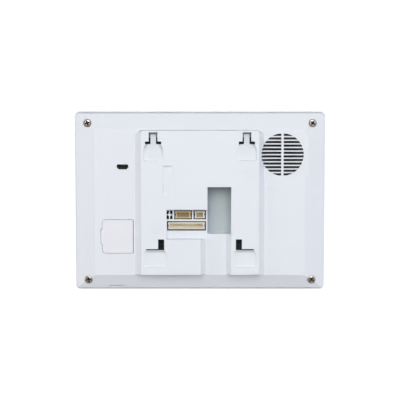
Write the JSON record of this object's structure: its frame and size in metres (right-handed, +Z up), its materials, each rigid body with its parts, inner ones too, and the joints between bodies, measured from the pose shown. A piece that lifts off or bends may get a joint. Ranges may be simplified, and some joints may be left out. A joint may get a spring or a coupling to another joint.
{
  "type": "video intercom monitor",
  "caption": "Wall-hung video intercom monitor with a glass front, a sloped rear cover, hook pockets, a cable bay, a speaker grille and a hinged card door.",
  "frame": {"origin": "centre of the rear pad's flat face, which lies against the wall or its bracket", "axes": "+Z up, +Y out of the back towards the wall, so the screen faces -Y; +X to the right of a person facing the screen"},
  "size_m": [0.19, 0.026, 0.136],
  "materials": {
    "white_shell": "fine satin texture",
    "front_glass": "polished",
    "white_print": "gloss ink",
    "black_foam": "closed-cell foam",
    "display_black": "gloss, dark",
    "display_steel": "satin",
    "plain_steel": "satin",
    "dark_steel": "blackened",
    "screw_steel": "nickel plated",
    "flex_film": "polyimide",
    "board_black": "matte solder mask",
    "led_white": "clear",
    "black_rubber": "matte",
    "warm_white": "fine satin texture",
    "ivory_nylon": "satin",
    "amber_nylon": "satin",
    "dark_nylon": "satin",
    "tin_gold": "plated",
    "grey_plate": "satin",
    "speaker_steel": "satin black",
    "speaker_ferrite": "rough",
    "cone_paper": "coated paper",
    "lead_red": "insulation",
    "chip_black": "matte",
    "pad_grey": "soft",
    "can_aluminium": "satin"
  },
  "bodies": {
    "housing": {"front_frame": "white_shell", "front_glass": "front_glass", "glass_print": "white_print", "display_gasket": "black_foam", "display_module": "display_black", "display_back": "display_steel", "display_brackets": "plain_steel", "bracket_screws": "screw_steel", "display_flex": "flex_film", "key_board": "board_black", "key_leds": "led_white", "key_flex": "flex_film", "microphone": "plain_steel", "microphone_boot": "black_rubber", "rear_cover": "white_shell", "case_screws": "screw_steel", "main_board": "board_black", "board_screws": "screw_steel", "wide_header": "ivory_nylon", "wide_header_pins": "tin_gold", "five_pin_header": "amber_nylon", "five_pin_header_pins": "tin_gold", "power_header": "ivory_nylon", "power_header_pins": "tin_gold", "network_jack": "plain_steel", "network_jack_insert": "dark_nylon", "network_contacts": "tin_gold", "shield_plate": "grey_plate", "usb_port": "dark_steel", "usb_tongue": "dark_nylon", "card_socket": "dark_nylon", "card_socket_cover": "plain_steel", "speaker_basket": "speaker_steel", "speaker_magnet": "speaker_ferrite", "speaker_cone": "cone_paper", "speaker_dust_cap": "cone_paper", "speaker_gasket": "black_foam", "speaker_screws": "screw_steel", "speaker_lead": "lead_red", "speaker_plug": "ivory_nylon", "processor": "chip_black", "heat_pad": "pad_grey", "memory_chip": "chip_black", "power_inductor": "chip_black", "capacitors": "can_aluminium", "flex_connectors": "ivory_nylon"},
    "door": {"card_door": "warm_white"}
  },
  "joints": [
    {"name": "card_door_hinge", "type": "hinge", "parent": "housing", "child": "door", "pos_m": [0.052, -0.0085, -0.026], "axis": [0, 0, 1], "range_deg": [0, 95]}
  ]
}
